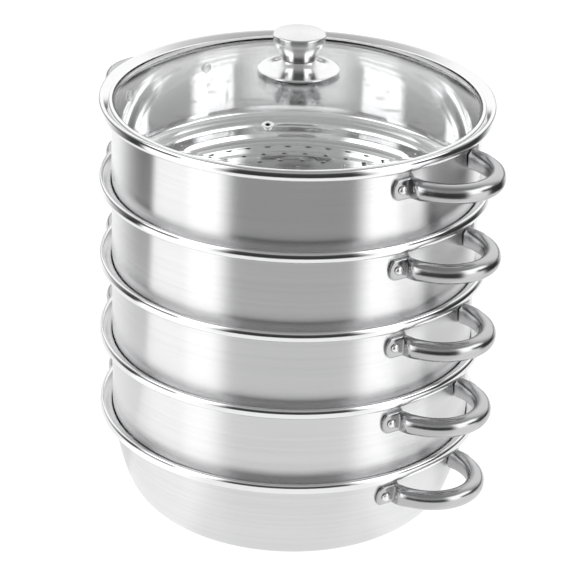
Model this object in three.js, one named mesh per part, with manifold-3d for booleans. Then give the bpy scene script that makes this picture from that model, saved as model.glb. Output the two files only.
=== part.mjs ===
// Five-tier steamer: a base pot, four steaming tiers with perforated floors, and a glass lid with a steel knob.
// Millimetres, +Z up. The origin is on the table, on the pot's axis, and the side handles lie along X.

import * as THREE from 'three';
import { mergeVertices } from 'three/addons/utils/BufferGeometryUtils.js';
import Module from 'manifold-3d';

const wasm = await Module();
wasm.setup();

// Driving dimensions of the stack
const tierPitch = 62.8;
const potHeight = 74.5;
const wallRadius = 140;
const sheetThickness = 0.8;
const seatGap = 0.3;
const seatSideGap = 0.35;
const turnSegments = 32;

// Rolled rim, the same on every vessel: heights count up from the rim line, where the roll's lip ends
const rimReach = 10;
const rimHeight = 9.1;
const throatHeight = 1.5;
const kneeHeight = 4.3;
const kneeReach = 1.4;
const slopeEndHeight = 7.4;
const slopeEndReach = 5.5;
const rollCrestInset = 2.4;
const rollShoulderHeight = 6.4;
const rollLipHeight = 0.3;

// Steaming tier below its wall
const nestInset = 13.6;
const floorFilletWidth = 6.4;
const floorFilletHeight = 4.6;
const floorDepth = 77.8;
const shoulderWidth = 2.4;
const shoulderDrop = 1.4;
const nestShoulderDrop = 3.2;

// Steam holes: one in the middle and rings around it, each ring with as many more holes
const holeRadius = 2.1;
const holeSides = 6;
const holeRingCount = 3;
const holesAddedPerRing = 6;
const floorMargin = 9.2;

// Base pot: its flat base, the curve from there up, and the flare behind the handles
const potBaseRadius = 100;
const potFlareWidth = 3.1;
const potFlareHeight = 19;
const potNeckWidth = 0.5;
const potNeckHeight = 5.5;
const potCurveShares = [[0.16, 0.03], [0.4, 0.09], [0.62, 0.24], [0.81, 0.5], [1, 1]];

// Side handles
const handleDrop = 15;
const rivetSpan = 88;
const tabLength = 14;
const tabHeight = 16;
const tabThickness = 2.6;
const tabTipRounding = 3;
const tabTipHeight = 9.5;
const archWidth = 72;
const archReach = 38;
const gripWidth = 14;
const gripHeight = 14.5;
const gripRoundness = 2.6;
const gripSides = 8;
const creaseRise = 4.6;
const creaseInset = 1.2;
const rootInset = 1.4;
const archStationAngles = [20, 55, 90, 125, 160];

// Rivets through the handle tabs and the wall
const rivetShankRadius = 2.1;
const rivetHoleGap = 0.3;
const rivetHeadRadius = 3.6;
const rivetHeadHeight = 2.2;
const rivetCrownRadius = 2.3;
const rivetInnerRadius = 4.2;
const rivetInnerHeight = 1.2;
const rivetSegments = 6;

// Lid: the steel band seats on the rim's slope and grips the edge of the glass
const bandOverlap = 2.3;
const bandSeatRise = 0.4;
const bandWall = 0.55;
const bandEdgeHeight = 0.95;
const bandLip = 0.5;
const bandLipWidth = 2.3;
const bandBevel = 0.4;
const skirtClearance = 0.6;
const skirtDrop = 1;
const glassThickness = 3.2;
const glassFlangeWidth = 2.7;
const glassBevel = 0.3;
const glassBoreRadius = 4.6;
const domeRise = 22.9;
const domeShares = [[0.4, 0.94], [0.7, 0.72], [0.87, 0.44], [0.962, 0.16], [1, 0]];

// Knob, its base plate and what clamps them to the glass
const clampGap = 0.3;
const washerThickness = 0.9;
const washerRadius = 17.5;
const plateRadius = 31;
const plateHeight = 8.8;
const plateEdgeThickness = 1.6;
const plateHubRadius = 13.4;
const plateFlareShares = [[0.4, 0.15], [0.71, 0.42], [0.91, 0.7]];
const knobRadius = 20;
const knobHeight = 20.2;
const knobEdgeRounding = 1.2;
const knobCollarHeight = 6;
const knobFootRadius = 12.9;
const knobFlareShares = [[0.2, 0.2], [0.4, 0.43], [0.67, 0.68], [0.88, 0.87]];
const knobSegments = 20;
const screwRadius = 3;
const screwBoreGap = 0.3;
const screwEngagement = 14;
const screwHeadRadius = 6;
const screwHeadHeight = 2.6;
const cupRadius = 17.4;
const cupDepth = 10.8;
const cupRounding = 4.6;
const cupThickness = 0.8;
const cupSegments = 16;

// Steam vent in the glass
const ventInset = 39.7;
const ventAngle = -63;
const ventFlangeRadius = 4.6;
const ventFlangeHeight = 0.7;
const ventBarrelRadius = 2.9;
const ventBoreRadius = 1.7;
const ventGap = 0.3;
const ventTail = 0.8;
const ventSegments = 10;

// Cutters run past what they cut by this much, and points nearer than the weld distance are joined
const overrun = 1;
const weldDistance = 1e-4;

const degree = Math.PI / 180;
const full = 2 * Math.PI;
const sides = [0, Math.PI];

const brushedSteel = new THREE.MeshStandardMaterial({ color: 0xb9babb, roughness: 0.38, metalness: 1 });
const polishedSteel = new THREE.MeshStandardMaterial({ color: 0xd2d3d4, roughness: 0.12, metalness: 1 });
const clearGlass = new THREE.MeshStandardMaterial({
  color: 0xdfe4e4, roughness: 0.04, metalness: 0, transparent: true, opacity: 0.35,
});
const rubber = new THREE.MeshStandardMaterial({ color: 0x2b2b2c, roughness: 0.8, metalness: 0 });

// Sizes that follow from the driving ones
const innerRadius = wallRadius - sheetThickness;
const rimRadius = wallRadius + rimReach;
const nestRadius = wallRadius - nestInset;
const floorEdgeRadius = nestRadius - floorFilletWidth;
const holeRingPitch = (floorEdgeRadius - floorMargin) / holeRingCount;
const rivetAngle = Math.asin(rivetSpan / 2 / wallRadius);

const steamer = new THREE.Group();

// Adds a named mesh to the steamer
function place(name, geometry, material) {
  geometry.computeVertexNormals();
  const mesh = new THREE.Mesh(geometry, material);
  mesh.name = name;
  steamer.add(mesh);
}

// Turns an outline of [radius, height] points about Z and lifts it. The outline runs
// anticlockwise around its material, and starts and ends on the axis or at one point.
function revolve(outline, segments, lift = 0) {
  const points = outline.map(([radius, height]) => new THREE.Vector2(radius, height));
  const geometry = new THREE.LatheGeometry(points, segments);
  geometry.rotateX(Math.PI / 2);
  geometry.translate(0, 0, lift);
  return geometry;
}

// A round cutter about Z, centred on the origin
function roundCutter(radius, length, sideCount) {
  const cutter = new THREE.CylinderGeometry(radius, radius, length, sideCount);
  cutter.rotateX(Math.PI / 2);
  return cutter;
}

// A closed mesh as a solid for cutting
function toSolid(geometry) {
  const bare = geometry.clone();
  bare.deleteAttribute('normal');
  bare.deleteAttribute('uv');
  const merged = mergeVertices(bare, weldDistance);
  const index = merged.index.array;
  const kept = [];
  for (let i = 0; i < index.length; i += 3) {
    const [a, b, c] = [index[i], index[i + 1], index[i + 2]];
    if (a !== b && b !== c && c !== a) kept.push(a, b, c);
  }
  const vertProperties = new Float32Array(merged.attributes.position.array);
  return new wasm.Manifold(new wasm.Mesh({ numProp: 3, vertProperties, triVerts: new Uint32Array(kept) }));
}

function toGeometry(solid) {
  const mesh = solid.getMesh();
  const geometry = new THREE.BufferGeometry();
  geometry.setAttribute('position', new THREE.BufferAttribute(new Float32Array(mesh.vertProperties), 3));
  geometry.setIndex(new THREE.BufferAttribute(new Uint32Array(mesh.triVerts), 1));
  return geometry;
}

function cut(geometry, cutters) {
  let solid = toSolid(geometry);
  for (const cutter of cutters) solid = solid.subtract(toSolid(cutter));
  return toGeometry(solid);
}

// Moves an open line of [radius, height] points sideways, to its left as it runs
function offsetLine(line, distance) {
  const points = line.map(([radius, height]) => new THREE.Vector2(radius, height));
  const lefts = points.slice(1).map((point, i) => {
    const along = point.clone().sub(points[i]).normalize();
    return new THREE.Vector2(-along.y, along.x);
  });
  return points.map((point, i) => {
    const before = lefts[Math.max(i - 1, 0)];
    const after = lefts[Math.min(i, lefts.length - 1)];
    const mitre = before.clone().add(after).normalize();
    const shifted = point.clone().addScaledVector(mitre, distance / mitre.dot(after));
    return [shifted.x, shifted.y];
  });
}

// Distance from the axis to the middle of a facet of a turned wall
function facetRadius(radius) {
  return radius * Math.cos(Math.PI / turnSegments);
}

// Face of the rolled rim, from the top of the wall over the crest and down to the lip
function rimFace(rimLine) {
  return [
    [innerRadius, rimLine + throatHeight],
    [innerRadius + kneeReach, rimLine + kneeHeight],
    [innerRadius + slopeEndReach, rimLine + slopeEndHeight],
    [rimRadius - rollCrestInset, rimLine + rimHeight],
    [rimRadius, rimLine + rollShoulderHeight],
    [rimRadius, rimLine + rollLipHeight],
  ];
}

// Underside of the rolled rim, from the top of the wall out to the lip
function rimUnderside(rimLine) {
  return [
    [wallRadius, rimLine + throatHeight - sheetThickness],
    [innerRadius + slopeEndReach, rimLine + slopeEndHeight - sheetThickness - rollLipHeight],
    [rimRadius - sheetThickness, rimLine + rollShoulderHeight - sheetThickness],
    [rimRadius - sheetThickness, rimLine + rollLipHeight],
  ];
}

// Height of the rim's slope above the rim line, at a radius
function rimSlopeHeight(radius) {
  const slope = (slopeEndHeight - kneeHeight) / (slopeEndReach - kneeReach);
  return kneeHeight + slope * (radius - innerRadius - kneeReach);
}

// A vessel of sheet metal: the outside skin from the axis up to the wall, then the rolled rim,
// and back down the inside at the sheet's thickness
function vesselOutline(outsideSkin, rimLine) {
  const inside = offsetLine([...outsideSkin, [wallRadius, rimLine]], sheetThickness).slice(0, -1);
  return [...outsideSkin, ...rimUnderside(rimLine), ...rimFace(rimLine).reverse(), ...inside.reverse()];
}

// The vessels from the bottom up. The pot's flare sets its handles in, and its tabs lean with the wall.
const potFlareTop = potHeight - potNeckHeight;
const potFlareRadius = wallRadius - potNeckWidth;
const potHandleInset = potNeckWidth + (potFlareWidth * (handleDrop - potNeckHeight)) / potFlareHeight;
const vessels = ['pot', 'tier_1', 'tier_2', 'tier_3', 'tier_4'].map((name, level) => ({
  name,
  rimLine: potHeight + level * tierPitch,
  inset: level === 0 ? potHandleInset : 0,
  lean: level === 0 ? potFlareWidth / potFlareHeight : 0,
}));

// Moves what is made for a tier's wall, about X at the handles' height, to one side of a vessel
function fit(geometry, { rimLine, inset }, side) {
  geometry.translate(-inset, 0, rimLine - handleDrop);
  geometry.rotateZ(side);
  return geometry;
}

// Turns a geometry made about Z so that it points out of the wall at one rivet of a handle
function atRivet(geometry, vessel, side, sign) {
  geometry.translate(0, 0, -wallRadius);
  geometry.rotateY(Math.PI / 2 + Math.atan(vessel.lean));
  geometry.translate(wallRadius, 0, 0);
  geometry.rotateZ(sign * rivetAngle);
  return fit(geometry, vessel, side);
}

// Cutters for the shanks of a handle's two rivets, through the wall and the tabs
function rivetHoleCutters(vessel, side) {
  const start = facetRadius(innerRadius) - overrun;
  const end = wallRadius + seatGap + tabThickness + overrun;
  return [-1, 1].map((sign) => {
    const cutter = roundCutter(rivetShankRadius + rivetHoleGap, end - start, rivetSegments);
    cutter.translate(0, 0, (start + end) / 2);
    return atRivet(cutter, vessel, side, sign);
  });
}

// Base pot: a flat base, and a side that curves up to the flare behind the handles
function potBody(vessel) {
  const curveWidth = potFlareRadius - potFlareWidth - potBaseRadius;
  const curveHeight = potFlareTop - potFlareHeight;
  const curve = potCurveShares.map(([across, up]) => [potBaseRadius + curveWidth * across, curveHeight * up]);
  const outsideSkin = [[0, 0], [potBaseRadius, 0], ...curve, [potFlareRadius, potFlareTop]];
  const shell = revolve(vesselOutline(outsideSkin, potHeight), turnSegments);
  return cut(shell, sides.flatMap((side) => rivetHoleCutters(vessel, side)));
}

// Outside skin of a tier: floor, nest, shoulder, and the seat that rests in the rim of the vessel below
function tierSkin(rimLine) {
  const seatFoot = rimLine - tierPitch + throatHeight;
  const seatSlope = (kneeHeight - throatHeight) / kneeReach;
  const seatTop = seatFoot + (sheetThickness + seatSideGap) * seatSlope;
  const seatRadius = innerRadius - seatSideGap;
  const shoulder = seatFoot - shoulderDrop;
  const floor = rimLine - floorDepth;
  return [
    [0, floor],
    [floorEdgeRadius, floor],
    [nestRadius, floor + floorFilletHeight],
    [nestRadius, shoulder - nestShoulderDrop],
    [seatRadius - shoulderWidth, shoulder],
    [seatRadius, seatFoot],
    [wallRadius, seatTop],
  ];
}

// Cutters for the steam holes of a tier's floor
function steamHoleCutters(floor) {
  const rings = Array.from({ length: holeRingCount + 1 }, (unused, ring) => ring);
  return rings.flatMap((ring) => {
    const count = Math.max(1, ring * holesAddedPerRing);
    const reach = ring * holeRingPitch;
    return Array.from({ length: count }, (unused, i) => {
      const angle = (full * (i + 0.5)) / count;
      const cutter = roundCutter(holeRadius, sheetThickness + 2 * overrun, holeSides);
      cutter.translate(reach * Math.cos(angle), reach * Math.sin(angle), floor + sheetThickness / 2);
      return cutter;
    });
  });
}

function tierBody(vessel) {
  const { rimLine } = vessel;
  const shell = revolve(vesselOutline(tierSkin(rimLine), rimLine), turnSegments);
  const rivetHoles = sides.flatMap((side) => rivetHoleCutters(vessel, side));
  return cut(shell, [...rivetHoles, ...steamHoleCutters(rimLine - floorDepth)]);
}

// A point off the wall, in the handle's plan: x away from the axis, y along the wall
function wallPoint(angle, standoff) {
  const radius = wallRadius + standoff;
  return new THREE.Vector2(radius * Math.cos(angle), radius * Math.sin(angle));
}

// One end of a handle, from the tip of its riveted tab to where the tube leaves the wall.
// Each station says where the section starts and ends in plan, its height, and how it leans.
function handleEnd(lean) {
  const halfTab = tabLength / 2 / wallRadius;
  const tabOuter = seatGap + tabThickness;
  const tipAngle = rivetAngle + halfTab;
  const rootAngle = rivetAngle - halfTab;
  const tabStation = (angle, height) => ({
    inner: wallPoint(angle, seatGap),
    outer: wallPoint(angle, tabOuter),
    height,
    lean,
  });
  const crease = wallPoint(rootAngle, tabOuter);
  const rootOffset = (archWidth - gripWidth) / 2 + rootInset;
  const creaseOffset = (archWidth + gripWidth) / 2 - creaseInset;
  return [
    tabStation(tipAngle, tabTipHeight),
    tabStation(tipAngle - tabTipRounding / wallRadius, tabHeight),
    tabStation(rootAngle, tabHeight),
    {
      inner: wallPoint(Math.asin(rootOffset / wallRadius), seatGap),
      outer: new THREE.Vector2(crease.x + creaseRise, creaseOffset),
      height: gripHeight,
      lean,
    },
  ];
}

// The arch of the grip: half an ellipse outside and one inside, about a point on the wall
function handleArch() {
  const outerHalf = (archWidth + gripWidth) / 2;
  const innerHalf = (archWidth - gripWidth) / 2;
  const outerReach = archReach + gripWidth / 2;
  const innerReach = archReach - gripWidth / 2;
  return archStationAngles.map((degrees) => {
    const [out, along] = [Math.sin(degrees * degree), Math.cos(degrees * degree)];
    return {
      inner: new THREE.Vector2(wallRadius + innerReach * out, innerHalf * along),
      outer: new THREE.Vector2(wallRadius + outerReach * out, outerHalf * along),
      height: gripHeight,
      lean: 0,
    };
  });
}

function mirrored({ inner, outer, height, lean }) {
  return { inner: new THREE.Vector2(inner.x, -inner.y), outer: new THREE.Vector2(outer.x, -outer.y), height, lean };
}

// Rounded section of a station, as a ring of points
function stationRing({ inner, outer, height, lean }) {
  const middle = inner.clone().lerp(outer, 0.5);
  const reach = outer.clone().sub(middle);
  const power = 2 / gripRoundness;
  return Array.from({ length: gripSides }, (unused, i) => {
    const angle = (full * (i + 0.5)) / gripSides;
    const across = Math.sign(Math.cos(angle)) * Math.abs(Math.cos(angle)) ** power;
    const rise = (height / 2) * Math.sign(Math.sin(angle)) * Math.abs(Math.sin(angle)) ** power;
    return [middle.x + reach.x * across + lean * rise, middle.y + reach.y * across, rise];
  });
}

// A closed skin over a row of rings that have the same number of points
function loft(rings) {
  const count = rings[0].length;
  const index = [];
  for (let ring = 0; ring + 1 < rings.length; ring += 1) {
    for (let i = 0; i < count; i += 1) {
      const a = ring * count + i;
      const b = ring * count + ((i + 1) % count);
      index.push(a, b, b + count, a, b + count, a + count);
    }
  }
  const last = (rings.length - 1) * count;
  for (let i = 1; i + 1 < count; i += 1) index.push(0, i + 1, i, last, last + i, last + i + 1);
  const geometry = new THREE.BufferGeometry();
  geometry.setAttribute('position', new THREE.Float32BufferAttribute(rings.flat(2), 3));
  geometry.setIndex(index);
  return geometry;
}

// A side handle: a bent tube, pressed flat at both ends into riveted tabs
function handle(vessel, side) {
  const end = handleEnd(vessel.lean);
  const stations = [...end, ...handleArch(), ...end.map(mirrored).reverse()];
  const grip = loft(stations.map(stationRing));
  return cut(fit(grip, vessel, side), rivetHoleCutters(vessel, side));
}

// A rivet: a flat head inside the wall, a shank, and a domed head on the tab
function rivet(vessel, side, sign) {
  const innerFace = facetRadius(innerRadius) - seatGap;
  const headBase = wallRadius + seatGap + tabThickness + seatGap;
  const outline = [
    [0, innerFace - rivetInnerHeight],
    [rivetInnerRadius, innerFace - rivetInnerHeight],
    [rivetInnerRadius, innerFace],
    [rivetShankRadius, innerFace],
    [rivetShankRadius, headBase],
    [rivetHeadRadius, headBase],
    [rivetCrownRadius, headBase + rivetHeadHeight],
    [0, headBase + rivetHeadHeight],
  ];
  return atRivet(revolve(outline, rivetSegments), vessel, side, sign);
}

// Lid sizes, with heights above the top tier's rim line
const topRimLine = vessels[vessels.length - 1].rimLine;
const skirtRadius = innerRadius - skirtClearance;
const kneeRadius = innerRadius + kneeReach;
const bandRadius = innerRadius + bandOverlap;
const bandSeatTop = rimSlopeHeight(bandRadius) + bandSeatRise;
const bandTop = bandSeatTop + bandEdgeHeight;

// Outside of the band's folded sheet, from the foot of its skirt up the rim's slope
const bandSeatLine = [
  [skirtRadius, -skirtDrop],
  [skirtRadius, throatHeight],
  [kneeRadius, kneeHeight + bandSeatRise],
  [bandRadius, bandSeatTop],
];
const glassSeatLine = offsetLine(bandSeatLine, bandWall + seatGap);
const [glassEdgeRadius, glassEdgeHeight] = glassSeatLine[2];
const glassEdgeTop = bandTop - bandLip - seatGap;
const glassEdgeBottom = glassEdgeTop - glassThickness;
const domeRadius = glassEdgeRadius - glassFlangeWidth;
const domeTop = glassEdgeTop + domeRise;

const domeLine = [
  [glassBoreRadius, domeTop],
  ...domeShares.map(([across, up]) => [domeRadius * across, glassEdgeTop + domeRise * up]),
];

// Height and slope of the dome at a radius
function domeAt(radius) {
  const after = domeLine.findIndex(([lineRadius]) => lineRadius > radius);
  const [start, end] = [domeLine[after - 1], domeLine[after]];
  const slope = (end[1] - start[1]) / (end[0] - start[0]);
  return { height: start[1] + slope * (radius - start[0]), tilt: Math.atan(-slope) };
}

// Puts a geometry made about Z on the dome at the vent, square to the glass
function atVent(geometry) {
  const ventRadius = domeRadius - ventInset;
  const { height, tilt } = domeAt(ventRadius);
  geometry.rotateY(tilt);
  geometry.translate(ventRadius, 0, topRimLine + height);
  geometry.rotateZ(ventAngle * degree);
  return geometry;
}

// Domed glass with an edge that lies in the band, a bore for the knob's screw and a hole for the vent
function lidGlass() {
  const underside = offsetLine(domeLine, -glassThickness).slice(0, -1);
  underside[0][0] = glassBoreRadius;
  const [footRadius, footHeight] = glassSeatLine[1];
  const footSlope = (glassEdgeRadius - footRadius) / (glassEdgeHeight - footHeight);
  const outline = [
    ...underside,
    [domeRadius, glassEdgeBottom],
    [footRadius + footSlope * (glassEdgeBottom - footHeight), glassEdgeBottom],
    [glassEdgeRadius, glassEdgeHeight],
    [glassEdgeRadius - glassBevel, glassEdgeTop],
    ...domeLine.slice().reverse(),
  ];
  outline.push(outline[0]);
  const bore = roundCutter(ventBarrelRadius + ventGap, 2 * (glassThickness + overrun), ventSegments);
  return cut(revolve(outline, turnSegments, topRimLine), [atVent(bore)]);
}

// Band around the glass: a skirt inside the wall, a seat on the rim's slope, and a lip folded over the glass
function lidBand() {
  const slotLine = offsetLine(bandSeatLine, bandWall).slice(0, -1);
  const outline = [
    ...bandSeatLine,
    [bandRadius, bandTop - bandBevel],
    [bandRadius - bandBevel, bandTop],
    [bandRadius - bandLipWidth, bandTop],
    [bandRadius - bandLipWidth, bandTop - bandLip],
    [bandRadius - bandWall, bandTop - bandLip],
    ...slotLine.reverse(),
  ];
  outline.push(outline[0]);
  return revolve(outline, turnSegments, topRimLine);
}

// Eyelet in the vent hole: a flange on the glass and a barrel through it
function ventEyelet() {
  const tail = glassThickness + ventTail;
  const outline = [
    [ventBoreRadius, -tail],
    [ventBarrelRadius, -tail],
    [ventBarrelRadius, ventGap],
    [ventFlangeRadius, ventGap],
    [ventFlangeRadius, ventGap + ventFlangeHeight / 2],
    [ventBarrelRadius, ventGap + ventFlangeHeight],
    [ventBoreRadius, ventGap + ventFlangeHeight],
    [ventBoreRadius, -tail],
  ];
  return atVent(revolve(outline, ventSegments));
}

// The knob's stack on the dome, with heights above the rim line
const stackBore = screwRadius + screwBoreGap;
const upperWasherBottom = domeTop + clampGap;
const plateBottom = upperWasherBottom + washerThickness + clampGap;
const knobBottom = plateBottom + plateHeight + clampGap;
const lowerWasherTop = domeAt(washerRadius).height - glassThickness - clampGap;
const cupTop = lowerWasherTop - washerThickness - clampGap;
const cupBottom = cupTop - cupDepth;
const screwHeadTop = cupBottom - clampGap;

// A flat washer around the screw
function washer(bottom) {
  const outline = [
    [stackBore, bottom],
    [washerRadius, bottom],
    [washerRadius, bottom + washerThickness],
    [stackBore, bottom + washerThickness],
    [stackBore, bottom],
  ];
  return revolve(outline, cupSegments, topRimLine);
}

// Round plate under the knob, which rises like a bell to its hub
function knobPlate() {
  const edgeTop = plateBottom + plateEdgeThickness;
  const hubTop = plateBottom + plateHeight;
  const flare = plateFlareShares.map(([across, up]) => [
    plateRadius - (plateRadius - plateHubRadius) * across,
    edgeTop + (hubTop - edgeTop) * up,
  ]);
  const outline = [
    [stackBore, plateBottom],
    [plateRadius, plateBottom],
    [plateRadius, edgeTop],
    ...flare,
    [plateHubRadius, hubTop],
    [stackBore, hubTop],
    [stackBore, plateBottom],
  ];
  return revolve(outline, knobSegments, topRimLine);
}

// Turned knob: a flare from its foot up to the collar, a flat top, and a bore for the screw from below
function knob() {
  const top = knobBottom + knobHeight;
  const collar = top - knobCollarHeight;
  const flare = knobFlareShares.map(([across, up]) => [
    knobFootRadius + (knobRadius - knobFootRadius) * across,
    knobBottom + (collar - knobBottom) * up,
  ]);
  const boreTop = knobBottom + screwEngagement + clampGap;
  const outline = [
    [0, boreTop],
    [stackBore, boreTop],
    [stackBore, knobBottom],
    [knobFootRadius, knobBottom],
    ...flare,
    [knobRadius, collar],
    [knobRadius, top - knobEdgeRounding],
    [knobRadius - knobEdgeRounding, top],
    [0, top],
  ];
  return revolve(outline, knobSegments, topRimLine);
}

// Steel cup under the glass that spreads the screw's pull
function clampCup() {
  const wallInner = cupRadius - cupThickness;
  const outline = [
    [stackBore, cupBottom],
    [cupRadius - cupRounding, cupBottom],
    [cupRadius, cupBottom + cupRounding],
    [cupRadius, cupTop],
    [wallInner, cupTop],
    [wallInner, cupBottom + cupRounding],
    [cupRadius - cupRounding, cupBottom + cupThickness],
    [stackBore, cupBottom + cupThickness],
    [stackBore, cupBottom],
  ];
  return revolve(outline, cupSegments, topRimLine);
}

// Screw from the cup up into the knob
function knobScrew() {
  const head = screwHeadTop - screwHeadHeight;
  const tip = knobBottom + screwEngagement;
  const outline = [
    [0, head],
    [screwHeadRadius, head],
    [screwHeadRadius, screwHeadTop],
    [screwRadius, screwHeadTop],
    [screwRadius, tip],
    [0, tip],
  ];
  return revolve(outline, cupSegments, topRimLine);
}

// The base pot and the tiers, each with its two handles and four rivets
for (const vessel of vessels) {
  const { name } = vessel;
  place(`${name}_body`, name === 'pot' ? potBody(vessel) : tierBody(vessel), brushedSteel);
  place(`${name}_handle_right`, handle(vessel, 0), polishedSteel);
  place(`${name}_handle_left`, handle(vessel, Math.PI), polishedSteel);
  place(`${name}_rivet_right_front`, rivet(vessel, 0, -1), polishedSteel);
  place(`${name}_rivet_right_rear`, rivet(vessel, 0, 1), polishedSteel);
  place(`${name}_rivet_left_rear`, rivet(vessel, Math.PI, -1), polishedSteel);
  place(`${name}_rivet_left_front`, rivet(vessel, Math.PI, 1), polishedSteel);
}

place('lid_glass', lidGlass(), clearGlass);
place('lid_band', lidBand(), polishedSteel);
place('lid_vent_eyelet', ventEyelet(), polishedSteel);
place('knob', knob(), polishedSteel);
place('knob_plate', knobPlate(), polishedSteel);
place('knob_washer_upper', washer(upperWasherBottom), rubber);
place('knob_washer_lower', washer(lowerWasherTop - washerThickness), rubber);
place('knob_clamp_cup', clampCup(), polishedSteel);
place('knob_screw', knobScrew(), polishedSteel);

export default steamer;
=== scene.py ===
# %% [markdown]
# # A five-tier steamer, dressed for its photograph
#
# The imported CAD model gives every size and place. This script builds a finer piece
# for each of its nodes, gives each one a finish, and sets up the camera and the light.
# Everything is in metres, and lengths below are written in millimetres times `MM`.

import math

import bmesh
import bpy
from mathutils import Matrix, Vector


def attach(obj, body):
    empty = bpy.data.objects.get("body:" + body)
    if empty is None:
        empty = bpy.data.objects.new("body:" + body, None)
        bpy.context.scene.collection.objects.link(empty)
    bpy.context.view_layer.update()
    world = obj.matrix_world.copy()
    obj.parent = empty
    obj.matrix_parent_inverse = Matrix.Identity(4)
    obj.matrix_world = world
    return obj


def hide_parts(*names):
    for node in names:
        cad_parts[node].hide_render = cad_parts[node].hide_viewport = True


MM = 0.001
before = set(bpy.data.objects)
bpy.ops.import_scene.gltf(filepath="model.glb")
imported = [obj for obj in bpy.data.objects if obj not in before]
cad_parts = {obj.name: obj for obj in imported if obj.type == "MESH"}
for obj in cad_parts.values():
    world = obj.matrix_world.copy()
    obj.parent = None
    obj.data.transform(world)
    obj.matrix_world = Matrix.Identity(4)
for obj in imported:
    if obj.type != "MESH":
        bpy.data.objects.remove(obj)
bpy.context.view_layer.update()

# %% [markdown]
# ## The camera
#
# The photograph looks down on the pot by about 25 degrees, through a long lens. The
# lens, the distance and the tilt were fitted to the ellipses of the five rims, so
# the camera is written out as numbers and not aimed by eye. The handles of the real
# stack point to the lower right, which is why the camera stands off to one side.

# %% Camera
CAMERA_DISTANCE = 1748.4 * MM
CAMERA_HEIGHT = 998.0 * MM
CAMERA_TURN = math.radians(39.3)
CAMERA_PITCH = math.radians(25.221)
CAMERA_YAW = math.radians(-0.112)
CAMERA_ROLL = math.radians(1.578)
CAMERA_LENS = 155.14
SENSOR_WIDTH = 36


def camera_frame():
    """Where the camera stands and how it is turned, as one matrix."""
    right = Vector((math.cos(CAMERA_YAW), -math.sin(CAMERA_YAW), 0))
    forward = Vector((
        math.sin(CAMERA_YAW) * math.cos(CAMERA_PITCH),
        math.cos(CAMERA_YAW) * math.cos(CAMERA_PITCH),
        -math.sin(CAMERA_PITCH),
    ))
    up = right.cross(forward)
    rolled_right = right * math.cos(CAMERA_ROLL) + up * math.sin(CAMERA_ROLL)
    rolled_up = up * math.cos(CAMERA_ROLL) - right * math.sin(CAMERA_ROLL)
    turned = Matrix((rolled_right, rolled_up, -forward)).transposed().to_4x4()
    place = Matrix.Translation((0, -CAMERA_DISTANCE, CAMERA_HEIGHT))
    return Matrix.Rotation(CAMERA_TURN, 4, "Z") @ place @ turned


bpy.ops.object.camera_add()
camera = bpy.context.object
camera.name = "photo_camera"
camera.matrix_world = camera_frame()
camera.data.lens = CAMERA_LENS
camera.data.sensor_width = SENSOR_WIDTH
bpy.context.scene.camera = camera
bpy.context.scene.view_settings.view_transform = "Standard"
print("camera at", [round(v, 3) for v in camera.matrix_world.translation])

# %% [markdown]
# ## Tools for turned parts
#
# A pan, a lid band and a knob are all round, so each one is an outline turned about
# the vertical axis. An outline is drawn as points of radius and height. A circle
# primitive supplies its vertices, they are pulled to their places, and the spin
# operator turns them. A smooth line through a few measured points is enough for the
# drawn sheet of a pan, while a machined part gets corners with a real radius.

# %% Outlines
def curve_at(t, p, q, r, s):
    """A share t of the way from q to r, on a smooth curve through all four."""
    squared = (2 * p - 5 * q + 4 * r - s) * t**2
    cubed = (3 * q - p - 3 * r + s) * t**3
    return 0.5 * (2 * q + (r - p) * t + squared + cubed)


def smooth_line(points, steps=4):
    """More points along a curve that passes through the given ones."""
    ends = [points[0], *points, points[-1]]
    line = []
    for a, b, c, d in zip(ends, ends[1:], ends[2:], ends[3:]):
        for i in range(steps):
            line.append(tuple(curve_at(i / steps, *four) for four in zip(a, b, c, d)))
    return [*line, points[-1]]


def rounded_line(corners, steps=4):
    """A line of straight stretches, with an arc at each corner that has a radius."""
    line = [corners[0][:2]]
    for before, corner, after in zip(corners, corners[1:], corners[2:]):
        here = Vector(corner[:2])
        back = (Vector(before[:2]) - here).normalized()
        ahead = (Vector(after[:2]) - here).normalized()
        half = back.angle(ahead) / 2
        radius = corner[2] if len(corner) > 2 else 0
        if radius == 0:
            line.append(tuple(here))
            continue
        middle = here + (back + ahead).normalized() * (radius / math.sin(half))
        run = radius / math.tan(half)
        start, end = (here + side * run - middle for side in (back, ahead))
        for i in range(steps + 1):
            t = i / steps
            spoke = start.slerp(end, t) if start.length > 0 else start
            line.append(tuple(middle + spoke.normalized() * radius))
    return [*line, corners[-1][:2]]


def offset_line(line, distance):
    """The same line moved to its left by a distance."""
    points = [Vector(p) for p in line]
    lefts = [Vector((-(b - a).y, (b - a).x)).normalized() for a, b in zip(points, points[1:])]
    moved = []
    for i, point in enumerate(points):
        before, after = lefts[max(i - 1, 0)], lefts[min(i, len(lefts) - 1)]
        mitre = (before + after).normalized()
        moved.append(tuple(point + mitre * (distance / mitre.dot(after))))
    return moved


# %% [markdown]
# The lathe takes an outline, turns it and welds the seam. With it come the few steps
# that most pieces need: picking a piece alone, opening it for editing, applying a
# modifier, smoothing its shading, and making a copy with a mesh of its own.

# %% The lathe
TURN_STEPS = 160


def pick(piece):
    """Selects one piece alone and makes it the active one."""
    bpy.ops.object.select_all(action="DESELECT")
    piece.select_set(True)
    bpy.context.view_layer.objects.active = piece


def edit_all(piece):
    """Opens one piece in edit mode with everything selected."""
    pick(piece)
    bpy.ops.object.mode_set(mode="EDIT")
    bpy.ops.mesh.select_mode(type="VERT")
    bpy.ops.mesh.select_all(action="SELECT")


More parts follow.
